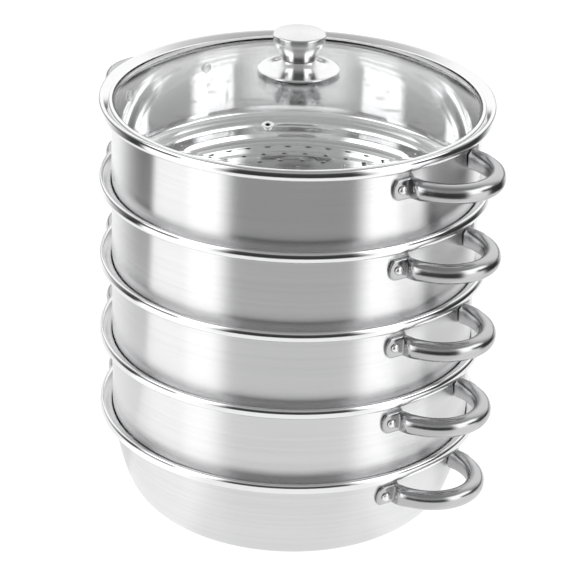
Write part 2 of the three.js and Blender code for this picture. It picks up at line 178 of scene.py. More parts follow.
def apply_modifier(piece, kind, **settings):
    """Adds a modifier with these settings and applies it at once."""
    pick(piece)
    modifier = piece.modifiers.new(kind.title(), kind)
    for key, value in settings.items():
        setattr(modifier, key, value)
    bpy.ops.object.modifier_apply(modifier=modifier.name)


def turn(name, outline, closed=False, steps=TURN_STEPS):
    """Turns an outline of (radius, height) points in mm about Z."""
    bpy.ops.object.select_all(action="DESELECT")
    bpy.ops.mesh.primitive_circle_add(vertices=len(outline), radius=MM)
    piece = bpy.context.object
    piece.name = name
    for vertex, (radius, height) in zip(piece.data.vertices, outline):
        vertex.co = (radius * MM, 0, height * MM)
    edit_all(piece)
    if not closed:
        bpy.ops.mesh.select_all(action="DESELECT")
        mesh = bmesh.from_edit_mesh(piece.data)
        mesh.verts.ensure_lookup_table()
        for edge in mesh.edges:
            edge.select_set({v.index for v in edge.verts} == {0, len(outline) - 1})
        bpy.ops.mesh.delete(type="EDGE")
        bpy.ops.mesh.select_all(action="SELECT")
    bpy.ops.mesh.spin(steps=steps, angle=2 * math.pi, center=(0, 0, 0), axis=(0, 0, 1))
    bpy.ops.mesh.select_all(action="SELECT")
    bpy.ops.mesh.remove_doubles(threshold=1e-6)
    bpy.ops.mesh.normals_make_consistent(inside=False)
    bpy.ops.object.mode_set(mode="OBJECT")
    return piece


def smooth(piece, degrees=28):
    """Smooth shading that stays crisp at edges sharper than this."""
    pick(piece)
    bpy.ops.object.shade_smooth_by_angle(angle=math.radians(degrees))


def copy_of(piece, name, place=Matrix()):
    """A copy with its own mesh, moved in the mesh so that its origin stays put."""
    twin = piece.copy()
    twin.data = piece.data.copy()
    twin.data.transform(place)
    twin.name = name
    bpy.context.collection.objects.link(twin)
    return twin


# %% [markdown]
# ## Finishes
#
# Stainless cookware has two kinds of finish. The walls, the inside and the knob are
# brushed on a lathe, so fine lines run round them and draw each reflection out across
# the lines. The rims, the lid's band, the handles, the rivets and the cup are buffed:
# the band nearly to a mirror, the handles and rivets less. Two effects are made once,
# as node groups. `turned_lines` gives the marks of the lathe, as fine lines and as the
# broad faint streaks among them. `handling_marks` gives the soft patches that hands and
# cloths leave. Each group puts out grey values only, which a material uses as it likes.

# %% Helpers for shader nodes
def new_group(name, inputs, outputs):
    """An empty shader node group with named float inputs and outputs."""
    group = bpy.data.node_groups.new(name, "ShaderNodeTree")
    for label, value in inputs.items():
        socket = group.interface.new_socket(label, in_out="INPUT", socket_type="NodeSocketFloat")
        socket.default_value = value
    for label in outputs:
        group.interface.new_socket(label, in_out="OUTPUT", socket_type="NodeSocketFloat")
    return group


def add(tree, kind, inputs=None, **settings):
    """Adds a node with these settings, and sets its inputs by a value or by a link."""
    node = tree.nodes.new("ShaderNode" + kind)
    for key, value in settings.items():
        setattr(node, key, value)
    for key, value in (inputs or {}).items():
        socket = node.inputs[key]
        if isinstance(value, bpy.types.NodeSocket):
            tree.links.new(value, socket)
        else:
            socket.default_value = value
    return node


def calc(tree, operation, a, b=0.0, c=0.0):
    """One Math node, and its result."""
    return add(tree, "Math", operation=operation, inputs={0: a, 1: b, 2: c}).outputs[0]


def ramp(tree, value, low, high, to_low=0.0, to_high=1.0):
    """Maps a value smoothly from one range to another."""
    ends = {0: value, 1: low, 2: high, 3: to_low, 4: to_high}
    return add(tree, "MapRange", interpolation_type="SMOOTHSTEP", inputs=ends).outputs[0]


def blend(tree, share, low, high):
    """A grey between two greys, each a number or a socket."""
    return add(tree, "Mix", data_type="FLOAT", inputs={0: share, 2: low, 3: high}).outputs[0]


# %% Effects
MARK_SOFTNESS = 0.25


def reach_from_axis(tree, parts):
    """Distance from the Z axis, from the three parts of a position."""
    squares = [calc(tree, "POWER", part, 2.0) for part in (parts[0], parts[1])]
    return calc(tree, "SQRT", calc(tree, "ADD", *squares))


def turned_lines():
    """Fine lines that run round the Z axis, on walls and on floors, and broad streaks."""
    group = new_group("turned_lines", {"Lines per mm": 1.0, "Reach": 1.0}, ["Lines", "Drift"])
    ends = group.nodes.new("NodeGroupInput"), group.nodes.new("NodeGroupOutput")
    spot = add(group, "TexCoord").outputs["Object"]
    parts = add(group, "SeparateXYZ", inputs={0: spot}).outputs
    angle = calc(group, "ARCTAN2", parts[1], parts[0])
    radius = reach_from_axis(group, parts)
    density = ends[0].outputs["Lines per mm"]
    across = calc(group, "MULTIPLY", calc(group, "MULTIPLY", radius, 1 / MM), density)
    along = calc(group, "MULTIPLY", calc(group, "MULTIPLY", parts[2], 1 / MM), density)
    round_it = calc(group, "MULTIPLY", calc(group, "SINE", angle), ends[0].outputs["Reach"])
    grain = add(group, "CombineXYZ", inputs={0: across, 1: round_it, 2: along}).outputs[0]
    fine = {"Vector": grain, "Scale": 1.0, "Detail": 3.0, "Roughness": 0.65}
    broad = {"Vector": grain, "Scale": 0.13, "Detail": 1.0}
    for noise, label in ((fine, "Lines"), (broad, "Drift")):
        group.links.new(add(group, "TexNoise", inputs=noise).outputs[0], ends[1].inputs[label])
    return group


def handling_marks():
    """Soft patches where hands and cloths have been."""
    group = new_group("handling_marks", {"Patch size": 30.0, "Cover": 0.5}, ["Marks"])
    ends = group.nodes.new("NodeGroupInput"), group.nodes.new("NodeGroupOutput")
    spot = add(group, "TexCoord").outputs["Object"]
    cloud = {"Vector": spot, "Detail": 4.0, "Roughness": 0.6, "Distortion": 0.6}
    cloud["Scale"] = ends[0].outputs["Patch size"]
    wide = add(group, "TexNoise", inputs=cloud).outputs[0]
    edge = calc(group, "SUBTRACT", 1.0, ends[0].outputs["Cover"])
    marks = ramp(group, wide, edge, calc(group, "ADD", edge, MARK_SOFTNESS))
    group.links.new(marks, ends[1].inputs["Marks"])
    return group


LINES = turned_lines()
MARKS = handling_marks()
print("effects:", [group.name for group in bpy.data.node_groups])

# %% [markdown]
# Brushed steel needs more than roughness. The fine grooves run round the wall, so a
# highlight is drawn out across them, upwards and downwards, while sideways it stays
# fairly sharp. The Principled shader does this with anisotropy, which draws highlights
# out along the tangent, so the tangent here points across the grooves.

# %% Brushed steel
LINE_DENSITY, LINE_REACH, LINE_RANGE = 2.6, 2.0, (0.3, 0.7)
STREAK_RANGE, STREAK_SHARE, STREAK_DARK = (0.35, 0.65), 0.5, 0.95
GROOVE_DEPTH = 0.02 * MM
BRUSHED_WEAR = 0.03


def new_material(name):
    """A material, its node tree and its main shader."""
    material = bpy.data.materials.new(name)
    material.use_nodes = True
    return material, material.node_tree, material.node_tree.nodes["Principled BSDF"]


def across_grooves(tree):
    """The direction that runs across the grooves: up a wall, outwards on a floor."""
    spot = add(tree, "TexCoord").outputs
    parts = add(tree, "SeparateXYZ", inputs={0: spot["Object"]}).outputs
    back = calc(tree, "MULTIPLY", parts[1], -1.0)
    around = add(tree, "CombineXYZ", inputs={0: back, 1: parts[0]}).outputs[0]
    both = {0: around, 1: spot["Normal"]}
    return add(tree, "VectorMath", operation="CROSS_PRODUCT", inputs=both).outputs[0]


def brushed_steel(name, colour, roughness, spread, stretch, groove):
    """Steel brushed on the lathe.

    `spread` is how much the roughness varies, `stretch` how far highlights are drawn
    out, and `groove` how deep the lines look.
    """
    material, tree, shader = new_material(name)
    spacing = {"Lines per mm": LINE_DENSITY, "Reach": LINE_REACH}
    lines = add(tree, "Group", node_tree=LINES, inputs=spacing)
    marks = add(tree, "Group", node_tree=MARKS, inputs={"Patch size": 14.0, "Cover": 0.42})
    shader.inputs["Metallic"].default_value = 1.0
    shader.inputs["Anisotropic"].default_value = stretch
    tree.links.new(across_grooves(tree), shader.inputs["Tangent"])
    limits = roughness - spread, roughness + spread
    grained = ramp(tree, lines.outputs["Lines"], *LINE_RANGE, *limits)
    worn = calc(tree, "MULTIPLY_ADD", marks.outputs["Marks"], BRUSHED_WEAR, grained)
    tree.links.new(worn, shader.inputs["Roughness"])
    dark = [v * STREAK_DARK for v in colour]
    streaks = ramp(tree, lines.outputs["Drift"], *STREAK_RANGE)
    streaked = blend(tree, STREAK_SHARE, lines.outputs["Lines"], streaks)
    tint = add(tree, "MixRGB", inputs={0: streaked, 1: (*dark, 1), 2: (*colour, 1)})
    tree.links.new(tint.outputs[0], shader.inputs["Base Color"])
    relief = {"Strength": groove, "Distance": GROOVE_DEPTH, "Height": lines.outputs["Lines"]}
    bump = add(tree, "Bump", inputs=relief)
    tree.links.new(bump.outputs[0], shader.inputs["Normal"])
    return material


# %% Buffed steel
BUFFED_WEAR, WORN_DARK = 0.05, 0.96
WAVE_SCALE, WAVE_STRENGTH, WAVE_DEPTH = 60.0, 0.05, 0.4 * MM


def polished_steel(name, colour, roughness):
    """Buffed steel, with a trace of the buffing wheel."""
    material, tree, shader = new_material(name)
    marks = add(tree, "Group", node_tree=MARKS, inputs={"Patch size": 45.0, "Cover": 0.45})
    shader.inputs["Metallic"].default_value = 1.0
    rough = calc(tree, "MULTIPLY_ADD", marks.outputs["Marks"], BUFFED_WEAR, roughness)
    tree.links.new(rough, shader.inputs["Roughness"])
    dull = [v * WORN_DARK for v in colour]
    shades = {0: marks.outputs["Marks"], 1: (*colour, 1), 2: (*dull, 1)}
    tint = add(tree, "MixRGB", inputs=shades)
    tree.links.new(tint.outputs[0], shader.inputs["Base Color"])
    spot = add(tree, "TexCoord").outputs["Object"]
    wave = add(tree, "TexNoise", inputs={"Vector": spot, "Scale": WAVE_SCALE, "Detail": 2.0})
    relief = {"Strength": WAVE_STRENGTH, "Distance": WAVE_DEPTH, "Height": wave.outputs[0]}
    bump = add(tree, "Bump", inputs=relief)
    tree.links.new(bump.outputs[0], shader.inputs["Normal"])
    return material


# %% The steels of this pot
WALL_STEEL = brushed_steel("satin_wall_steel", (0.82, 0.82, 0.825), 0.25, 0.015, 1.0, 0.08)
# The pot's steel is a darker copy of the wall steel: painted shade on the pot.
SHADED_POT_STEEL = brushed_steel("satin_pot_steel_painted_shade", (0.75, 0.75, 0.755), 0.25, 0.015, 1.0, 0.08)
# The inside steel is smoother, and its brighter colour is painted light for the inside of the
# vessels.
LIT_INNER_STEEL = brushed_steel("smooth_inner_steel_painted_light", (0.93, 0.93, 0.935), 0.07, 0.01, 0.5, 0.03)
RIM_STEEL = polished_steel("buffed_rim_steel", (0.84, 0.84, 0.845), 0.13)
BAND_STEEL = polished_steel("mirror_band_steel", (0.84, 0.84, 0.845), 0.05)
# The handles' steel is darker than the same steel elsewhere: painted shade, for the dark
# reflections along the handles.
SHADED_GRIP_STEEL = polished_steel("buffed_handle_steel_painted_shade", (0.5, 0.5, 0.505), 0.2)
KNOB_STEEL = brushed_steel("satin_knob_steel", (0.86, 0.86, 0.865), 0.2, 0.02, 0.6, 0.05)
CUP_STEEL = polished_steel("buffed_cup_steel", (0.5, 0.5, 0.505), 0.06)
RIVET_STEEL = polished_steel("satin_rivet_steel", (0.86, 0.86, 0.865), 0.3)
TOP_STEEL = brushed_steel("satin_knob_top_steel", (0.84, 0.84, 0.845), 0.34, 0.03, 0.3, 0.1)
print("steels:", [m.name for m in bpy.data.materials if "steel" in m.name])

# %% [markdown]
# Glass is clear all through, and only the handling marks on its face dull it a little.
# The rubber of the seals is nearly black and never shines.

# %% Glass and rubber
GLASS_IOR = 1.5
GLASS_WEAR = 0.02


def clear_glass():
    """Tempered glass, clean but not perfectly so."""
    material, tree, shader = new_material("lid_glass_clear")
    marks = add(tree, "Group", node_tree=MARKS, inputs={"Patch size": 22.0, "Cover": 0.4})
    shader.inputs["Transmission Weight"].default_value = 1.0
    shader.inputs["IOR"].default_value = GLASS_IOR
    shader.inputs["Base Color"].default_value = (0.995, 1.0, 0.998, 1)
    dulled = calc(tree, "MULTIPLY", marks.outputs["Marks"], GLASS_WEAR)
    tree.links.new(dulled, shader.inputs["Roughness"])
    return material


def black_rubber():
    """Black rubber, greyer and duller where it has been handled."""
    material, tree, shader = new_material("seal_rubber_and_bore_shade")
    marks = add(tree, "Group", node_tree=MARKS, inputs={"Patch size": 60.0, "Cover": 0.5})
    handled = marks.outputs["Marks"]
    clean, grey = (0.02, 0.02, 0.02, 1), (0.05, 0.05, 0.05, 1)
    tint = add(tree, "MixRGB", inputs={0: handled, 1: clean, 2: grey})
    tree.links.new(tint.outputs[0], shader.inputs["Base Color"])
    tree.links.new(ramp(tree, handled, 0.0, 1.0, 0.6, 0.8), shader.inputs["Roughness"])
    return material


GLASS = clear_glass()
RUBBER_AND_BORE_SHADE = black_rubber()
print("clear and soft:", GLASS.name, RUBBER_AND_BORE_SHADE.name)

# %% [markdown]
# ## The steaming tier
#
# A tier is one sheet of steel, 0.8 mm thick. Its floor is set in, so that it drops
# into the vessel below, and its top opens like a funnel and rolls over into the rim.
# The visible line, from the middle of the floor up the inside and over the rim, was
# read from the photograph. It is turned once, and Solidify gives it the thickness.

# %% The sheet of a tier
SHEET = 0.8
PITCH = 62.8
POT_RIM_LINE = 74.5
FLOOR_LINE = -77
FUNNEL = [(139.2, 0), (139.45, 2.0), (140.6, 4.3), (142.6, 6.0), (144.7, 7.4), (146.4, 8.45)]
ROLL_MIDDLE, ROLL_SIZE = (147.8, 4.85), (2.15, 4.1)
ROLL_TURNS = [math.radians(degrees) for degrees in range(90, -85, -12)]
ROLL = [
    (ROLL_MIDDLE[0] + ROLL_SIZE[0] * math.cos(t), ROLL_MIDDLE[1] + ROLL_SIZE[1] * math.sin(t))
    for t in ROLL_TURNS
]
RIM = [*FUNNEL, *ROLL]
TIER_FLOOR = [
    (0, FLOOR_LINE), (40, FLOOR_LINE), (80, FLOOR_LINE), (109.5, FLOOR_LINE, 2),
    (111.5, -76.6, 2), (119.2, -76.6, 3), (123.4, -75.4, 3.0), (125.6, -71.2, 2.5),
    (125.7, -66.2, 2.5), (127.2, -63.7, 2.2), (131.2, -62.3, 4), (136.4, -61.5, 3),
    (138.9, -58.8, 3), (139.2, -54, 3), (139.2, -30),
]


def sheet_vessel(name, line):
    """Turns a vessel's visible line and thickens it away from the inside."""
    vessel = turn(name, line)
    floor = min(vessel.data.polygons, key=lambda face: face.center.xy.length)
    if floor.normal.z > 0:
        edit_all(vessel)
        bpy.ops.mesh.flip_normals()
        bpy.ops.object.mode_set(mode="OBJECT")
    apply_modifier(vessel, "SOLIDIFY", thickness=SHEET * MM, offset=1.0, use_even_offset=True)
    return vessel


tier_line = [*rounded_line(TIER_FLOOR, 4), *smooth_line(RIM, 4)]
tier = sheet_vessel("tier_master", tier_line)
print("tier sheet:", len(tier.data.polygons), "faces")

# %% [markdown]
# ## The steam holes
#
# The floor carries 169 punched holes, in rings of six more each time, with their edges
# slightly rounded by the punch. One cutter is made with a flare at both ends, copied
# to every place, and all of them are cut from the floor in one Boolean.

# %% Steam holes
HOLE_RINGS = [
    (0, 1), (23.2, 6), (37.8, 12), (52.4, 18), (67.0, 24), (81.6, 30), (96.2, 36), (110.8, 42),
]
HOLE_RADIUS = 2.0
HOLE_SIDES = 14
HOLE_FLARE = 0.35
CUTTER_SPARE = 0.3


def hole_cutters(floor):
    """One mesh with a flared cutter at each hole."""
    half = SHEET / 2
    flare = HOLE_RADIUS + HOLE_FLARE
    outline = [
        (0, -half - CUTTER_SPARE), (flare + CUTTER_SPARE, -half - CUTTER_SPARE),
        (flare, -half), (HOLE_RADIUS, -half + HOLE_FLARE),
    ]
    outline += [(radius, -height) for radius, height in reversed(outline)]
    cutter = turn("hole_cutter", outline, steps=HOLE_SIDES)
    cutters = []
    for reach, count in HOLE_RINGS:
        for i in range(count):
            angle = 2 * math.pi * (i + 0.5) / count
            spot = Vector((reach * math.cos(angle), reach * math.sin(angle), floor))
            name = f"hole_cutter_{reach:.0f}_{i}"
            cutters.append(copy_of(cutter, name, Matrix.Translation(spot * MM)))
    bpy.ops.object.select_all(action="DESELECT")
    for one in cutters:
        one.select_set(True)
    bpy.context.view_layer.objects.active = cutters[0]
    bpy.data.objects.remove(cutter)
    bpy.ops.object.join()
    return bpy.context.object


cutters = hole_cutters(FLOOR_LINE - SHEET / 2)
apply_modifier(tier, "BOOLEAN", operation="DIFFERENCE", object=cutters, solver="EXACT")
bpy.data.objects.remove(cutters)
print("tier with holes:", len(tier.data.polygons), "faces")

# %% [markdown]
# One sheet carries three finishes: brushed steel outside, smoother steel inside whose
# brighter colour is painted light, and a buffed rim. Each face gets one of them by
# where it lies and which way it faces. The level faces of the floor are shaded flat,
# since smooth shading smears between so many holes.

# %% Finishes of a vessel's faces
RIM_START, INSIDE_REACH = 0.4, 139.5
FACING_UP, LEVEL = 0.5, 0.9999


def vessel_finishes(vessel, rim_line, wall_steel):
    """Brushed outside and inside, buffed rim: material 0, 1 and 2."""
    for material in (wall_steel, LIT_INNER_STEEL, RIM_STEEL):
        vessel.data.materials.append(material)
    for face in vessel.data.polygons:
        centre = face.center / MM
        radius = math.hypot(centre.x, centre.y)
        outward = face.normal.x * centre.x + face.normal.y * centre.y
        if centre.z > rim_line + RIM_START:
            face.material_index = 2
        elif radius < INSIDE_REACH and (outward < 0 or face.normal.z > FACING_UP):
            face.material_index = 1
        else:
            face.material_index = 0


vessel_finishes(tier, 0, WALL_STEEL)
smooth(tier)
for face in tier.data.polygons:
    if abs(face.normal.z) > LEVEL:
        face.use_smooth = False
print("tier finishes:", [material.name for material in tier.data.materials])

# %% [markdown]
# ## The base pot
#
# The pot is the same sheet with a flat base and a side that curves up into the wall.
# Its outside was read from the photograph's outline, so the visible line is that
# outline moved in by the thickness of the sheet.

# %% The pot
POT_SKIN = [
    (100, 0), (105.5, 1.5), (111.5, 3.6), (118.2, 7.8), (123.0, 12.6), (127.6, 20), (131.2, 30),
    (134.1, 40), (136.3, 50), (138.0, 60), (139.4, 68.5), (139.9, 72),
]
POT_FLOOR_REACHES = (0, 50, 96)
pot_floor = [(radius, SHEET) for radius in POT_FLOOR_REACHES]
pot_inside = offset_line(smooth_line(POT_SKIN, 4), SHEET)
pot_rim = [(radius, height + POT_RIM_LINE) for radius, height in RIM]
pot = sheet_vessel("pot_master", [*pot_floor, *pot_inside[1:], *smooth_line(pot_rim, 4)])
vessel_finishes(pot, POT_RIM_LINE, SHADED_POT_STEEL)
smooth(pot)
print("pot sheet:", len(pot.data.polygons), "faces")

# %% [markdown]
# ## Side handles
#
# Each handle is a bent tube whose ends are pressed flat and riveted to the wall. A
# circle is the first section, and each next section is extruded from the last and
# pulled to its place. Two lines in plan, along the tube's inner and outer side, say
# where each section starts and ends.

# %% A loft by extrusion
def loft(name, rings):
    """Extrudes a closed section through a row of rings of points, in metres."""
    bpy.ops.object.select_all(action="DESELECT")
    bpy.ops.mesh.primitive_circle_add(vertices=len(rings[0]), radius=MM, fill_type="NGON")
    piece = bpy.context.object
    piece.name = name
    for vertex, point in zip(piece.data.vertices, rings[0]):
        vertex.co = point
    bpy.ops.object.mode_set(mode="EDIT")
    bpy.ops.mesh.select_mode(type="FACE")
    bpy.ops.mesh.select_all(action="SELECT")
    for before, after in zip(rings, rings[1:]):
        bpy.ops.mesh.extrude_region_move()
        mesh = bmesh.from_edit_mesh(piece.data)
        for vertex in (v for v in mesh.verts if v.select):
            gaps = [(vertex.co - point).length_squared for point in before]
            vertex.co = after[gaps.index(min(gaps))]
    bpy.ops.mesh.select_all(action="SELECT")
    bpy.ops.mesh.normals_make_consistent(inside=False)
    bpy.ops.object.mode_set(mode="OBJECT")
    return piece


# %% Sections of a handle
WALL = 140.0
GAP = 0.3
HANDLE_DROP = 15.0
RIVET_HALF_SPAN, TAB_HALF_LENGTH = 44, 7
RIVET_ANGLE = math.asin(RIVET_HALF_SPAN / WALL)
TAB_HALF = TAB_HALF_LENGTH / WALL
TAB_THICK, TAB_HEIGHT, TAB_SQUARENESS = 2.6, 16, 5.0
TIP_ANGLE, TIP_ROUNDNESS, TIP_THINNING = 4.5 / WALL, 2.4, 0.5
TIP_LEAST, ROOT_MARGIN = 0.04, 0.8 / WALL
ARCH_INNER, ARCH_OUTER = (31, 29), (44.5, 43)
ARCH_HEIGHT, ARCH_SQUARENESS = 14.5, 2.25
SECTION_SIDES = 28


def on_wall(angle, standoff):
    """A point in plan, so far off the wall."""
    return Vector(((WALL + standoff) * math.cos(angle), (WALL + standoff) * math.sin(angle)))


def handle_half():
    """Sections from the tab's tip to the top of the arch.

    Each one has its inner and outer point in plan, its height, how square it is, and
    how far it follows the lean of the wall.
    """
    tip, root = RIVET_ANGLE + TAB_HALF, RIVET_ANGLE - TAB_HALF
    out = GAP + TAB_THICK
    sections = []
    for share in (0.0, 0.04, 0.13, 0.28, 0.5, 0.75, 1.0):
        angle = tip - share * TIP_ANGLE
        outer = on_wall(angle, out - (1 - share) * TIP_THINNING)
        rounded = math.sqrt(1 - (1 - share) ** TIP_ROUNDNESS)
        height = TAB_HEIGHT * rounded * (1 - TIP_LEAST) + TAB_HEIGHT * TIP_LEAST
        sections.append((on_wall(angle, GAP), outer, height, TAB_SQUARENESS, 1.0))
    for share in (0.25, 0.5, 0.75, 1.0):
        angle = tip - TIP_ANGLE - share * (tip - TIP_ANGLE - root - ROOT_MARGIN)
        inner, outer = on_wall(angle, GAP), on_wall(angle, out)
        sections.append((inner, outer, TAB_HEIGHT, TAB_SQUARENESS, 1.0))
    sections += [
        (on_wall(root, GAP), on_wall(root, out) + Vector((0.5, 0.3)), 15.9, 4.2, 1.0),
        (on_wall(0.240, GAP), Vector((139.9, 40.2)), 15.6, 3.6, 1.0),
        (on_wall(0.224, GAP), Vector((142.2, 41.9)), 15.2, 3.0, 0.9),
        (on_wall(0.2145, GAP + 1.2), Vector((145.6, 42.9)), 14.9, 2.6, 0.6),
        (Vector((143.6, 29.4)), Vector((149.3, 42.9)), 14.6, 2.4, 0.25),
    ]
    for degrees in range(18, 91, 6):
        out_share, along = math.sin(math.radians(degrees)), math.cos(math.radians(degrees))
        inner, outer = (
            Vector((WALL + size[0] * out_share, size[1] * along))
            for size in (ARCH_INNER, ARCH_OUTER)
        )
        sections.append((inner, outer, ARCH_HEIGHT, ARCH_SQUARENESS, 0.0))
    return sections


# %% Handles
def section_ring(inner, outer, height, squareness, lean, wall_lean):
    """A rounded section between two points in plan."""
    middle, reach = (inner + outer) / 2, (outer - inner) / 2
    ring = []
    for i in range(SECTION_SIDES):
        angle = 2 * math.pi * (i + 0.5) / SECTION_SIDES
        flat, steep = math.cos(angle), math.sin(angle)
        across = math.copysign(abs(flat) ** (2 / squareness), flat)
        rise = math.copysign(abs(steep) ** (2 / squareness), steep) * height / 2
        outward = middle.x + reach.x * across + lean * wall_lean * rise
        ring.append(Vector((outward, middle.y + reach.y * across, rise)) * MM)
    return ring


def handle(name, wall_lean):
    """A whole handle: one half, then the same sections mirrored in reverse."""
    half = handle_half()
    mirrored = [
        (Vector((i.x, -i.y)), Vector((o.x, -o.y)), *rest)
        for i, o, *rest in reversed(half[:-1])
    ]
    return loft(name, [section_ring(*section, wall_lean) for section in [*half, *mirrored]])


tier_handle = handle("handle_master", 0.0)
smooth(tier_handle, 40)
POT_FLARE, POT_FLARE_HEIGHT = 3.1, 19
POT_LEAN = POT_FLARE / POT_FLARE_HEIGHT
pot_handle = handle("pot_handle_master", POT_LEAN)
smooth(pot_handle, 40)
print("handle:", len(tier_handle.data.polygons), "faces")

# %% [markdown]
# ## Rivets
#
# A rivet has a dome outside on the tab, a shank, and a flat head on the inside of the
# wall. It is turned about Z and then laid down to point out of the wall.

# %% Rivet
RIVET_HEAD = [(0, -1.2), (3.2, -1.2), (4.0, -0.8), (4.2, -0.3), (4.2, 0), (2.1, 0)]
RIVET_DOME = [(2.1, 0), (3.55, 0), (3.6, 0.4), (3.3, 1.1), (2.6, 1.7), (1.5, 2.1), (0, 2.2)]
HEAD_MARGIN = 0.3


def rivet_outline():
    """The head on the inside of the wall, then the dome on the tab."""
    inner = WALL - SHEET - GAP - HEAD_MARGIN
    base = WALL + 2 * GAP + TAB_THICK
    head = [(radius, inner + height) for radius, height in RIVET_HEAD]
    return [*head, *((radius, base + height) for radius, height in RIVET_DOME)]


rivet = turn("rivet_master", rivet_outline(), steps=32)
smooth(rivet, 35)
print("rivet:", len(rivet.data.polygons), "faces")

# %% [markdown]
# Every vessel gets a sheet, two handles and four rivets. Each one is a copy of its
# master, moved to its level and side; it hides the node of the CAD model that it
# stands for and moves with its body. The pot's side leans in below its rim, so its
# handles stand a little closer to the axis and follow that lean.

# %% Vessels, handles and rivets in place
POT_NECK_INSET, POT_NECK_DROP = 0.5, 5.5
POT_INSET = POT_NECK_INSET + POT_FLARE * (HANDLE_DROP - POT_NECK_DROP) / POT_FLARE_HEIGHT
VESSELS = ["pot", "tier_1", "tier_2", "tier_3", "tier_4"]


def finish_piece(piece, node, body, slot_name, *materials):
    """Gives a piece its materials, hides the CAD node it replaces, and puts it on its body."""
    if not piece.data.materials:
        for material in materials:
            piece.data.materials.append(material)
    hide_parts(node)
    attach(piece, body)


def rivet_place(side, sign, inset, lean, height):
    """Lays a rivet down, points it out of the wall, and puts it on its vessel."""
    tipped = Matrix.Rotation(math.pi / 2 + math.atan(lean), 4, "Y")
    from_wall, to_wall = (Matrix.Translation(v) for v in ((0, 0, -WALL * MM), (WALL * MM, 0, 0)))
    laid = to_wall @ tipped @ from_wall
    on_vessel = Matrix.Translation((-inset * MM, 0, height * MM))
    round_to_it = Matrix.Rotation(sign * RIVET_ANGLE, 4, "Z")
    return Matrix.Rotation(side, 4, "Z") @ on_vessel @ round_to_it @ laid


for level, name in enumerate(VESSELS):
    rim_line = POT_RIM_LINE + level * PITCH
    if level == 0:
        body, inset, lean, grip = copy_of(pot, "pot_sheet"), POT_INSET, POT_LEAN, pot_handle
    else:
        lift = Matrix.Translation((0, 0, rim_line * MM))
        body, inset, lean, grip = copy_of(tier, name + "_sheet", lift), 0, 0, tier_handle
    finish_piece(body, name + "_body", name, "vessel_steel")
    height = rim_line - HANDLE_DROP
    on_vessel = Matrix.Translation((-inset * MM, 0, height * MM))
    for side, word in ((0, "right"), (math.pi, "left")):
        place = Matrix.Rotation(side, 4, "Z") @ on_vessel
        one = copy_of(grip, f"{name}_grip_{word}", place)
        finish_piece(one, f"{name}_handle_{word}", name, "polished_steel", SHADED_GRIP_STEEL)
        for sign in (-1, 1):
            end = "front" if (sign < 0) == (word == "right") else "rear"
            place = rivet_place(side, sign, inset, lean, height)
            one = copy_of(rivet, f"{name}_dome_rivet_{word}_{end}", place)
            finish_piece(one, f"{name}_rivet_{word}_{end}", name, "polished_steel", RIVET_STEEL)
for master in (tier, pot, tier_handle, pot_handle, rivet):
    bpy.data.objects.remove(master)
print("vessels dressed:", VESSELS)

# %% [markdown]
# ## The lid
#
# The glass is a shallow dome, gripped at its edge by a folded steel band. It is about
# 3 mm thick in the middle and thicker towards the edge, where its underside is set in,
# so that the view through it bends less. The band sits on the funnel of the top rim,
# and its skirt drops inside the wall.

# %% Glass
LID_LINE = POT_RIM_LINE + 4 * PITCH
GLASS_BORE = 4.6
GLASS_EDGE_TOP = 5.5
DOME_END, UNDER_END, DOME_STEPS = 137.4, 135.0, 80
DOME_REACH, DOME_RISE, DOME_FULLNESS = 138.6, 22.9, 3.4
UNDER_DROP, UNDER_INSET = 3.05, 2.4


def lifted(line):
    """A line drawn from the lid's own zero, lifted to where the lid rests."""
    return [(radius, height + LID_LINE) for radius, height in line]


def dome_height(radius):
    """Height of the outside of the dome, which falls ever faster towards its edge."""
    return GLASS_EDGE_TOP + DOME_RISE * (1 - (radius / DOME_REACH) ** DOME_FULLNESS)


def dome_radii(last):
    """Evenly spaced radii from the bore outwards."""
    return [GLASS_BORE + (last - GLASS_BORE) * i / DOME_STEPS for i in range(DOME_STEPS + 1)]


dome = [(radius, dome_height(radius)) for radius in dome_radii(DOME_END)]
under = [(r, dome_height(r + UNDER_INSET) - UNDER_DROP) for r in dome_radii(UNDER_END)]
glass_edge = rounded_line([
    dome[-2], dome[-1], (138.4, 5.55, 0.6), (139.75, 5.5, 0.2), (139.95, 5.2, 0.1),
    (138.15, 2.35, 0.3), (136.2, 2.35, 0.8), under[-1],
], 5)
glass_outline = [*dome, *glass_edge[2:-1], *reversed(under)]
glass = turn("lid_dome", lifted(glass_outline), closed=True)
smooth(glass, 40)
print("dome:", len(glass.data.polygons), "faces")

# %% Band
BAND = [
    (138.6, -0.9), (138.6, 1.5, 1), (140.6, 4.7, 1.5), (141.5, 5.4, 0.15),
    (141.5, 6.3, 0.4), (139.2, 6.3, 0.15), (139.2, 5.85), (140.9, 5.85, 0.1),
    (140.2, 5.1, 0.3), (138.05, 1.7, 1), (138.05, -0.9, 0.2), (138.3, -1.0), (138.6, -0.9),
]
band = turn("lid_ring", lifted(rounded_line(BAND, 5)[:-1]), closed=True)
smooth(band, 35)
finish_piece(band, "lid_band", "lid", "polished_steel", BAND_STEEL)
print("band:", len(band.data.polygons), "faces")

# %% [markdown]
# ## The vent
#
# A small steel eyelet lines the steam hole in the glass. The hole is bored square to
# the dome, and the eyelet is turned and tilted to match. The faces inside its bore get
# the black rubber finish as painted shade, for the shade deep in the hole.

# %% Vent
VENT_REACH, VENT_ANGLE = 97.6, math.radians(-63)
VENT_BORE, VENT_DEPTH, BORE_SHADE_REACH = 3.2, 12, 1.8


def dome_at(reach):
    """Height and downward tilt of the dome at a radius."""
    for (r0, z0), (r1, z1) in zip(dome, dome[1:]):
        if r0 <= reach <= r1:
            return z0 + (z1 - z0) * (reach - r0) / (r1 - r0), math.atan2(z0 - z1, r1 - r0)


